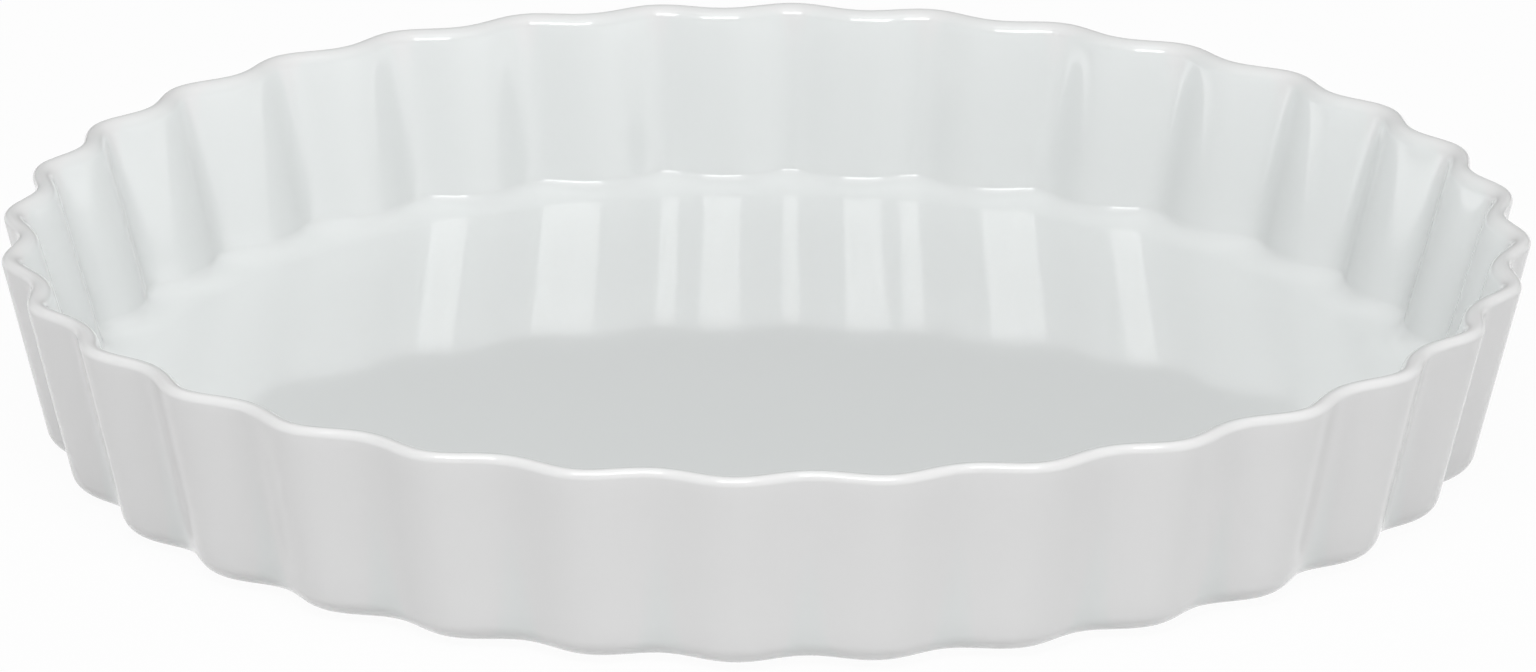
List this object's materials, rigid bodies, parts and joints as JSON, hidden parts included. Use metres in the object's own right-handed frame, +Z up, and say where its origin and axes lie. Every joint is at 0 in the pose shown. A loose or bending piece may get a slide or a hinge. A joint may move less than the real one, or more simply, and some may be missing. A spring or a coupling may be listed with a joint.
{
  "type": "quiche dish",
  "caption": "Shallow round baking dish in white glazed porcelain, with a flat floor, a flared fluted wall and a rounded rim, on a low foot ring.",
  "frame": {"origin": "on the table under the middle of the dish", "axes": "+Z up along the dish's axis; a crest of the flutes lies on each of +X, -X, +Y and -Y"},
  "size_m": [0.28, 0.28, 0.0385],
  "materials": {
    "bisque": "bare fired porcelain, matt, wiped smooth",
    "glaze": "clear gloss glaze over white porcelain"
  },
  "bodies": {
    "root": {"porcelain_body": "bisque", "glaze_coat": "glaze", "underside_glaze": "glaze"}
  },
  "joints": []
}
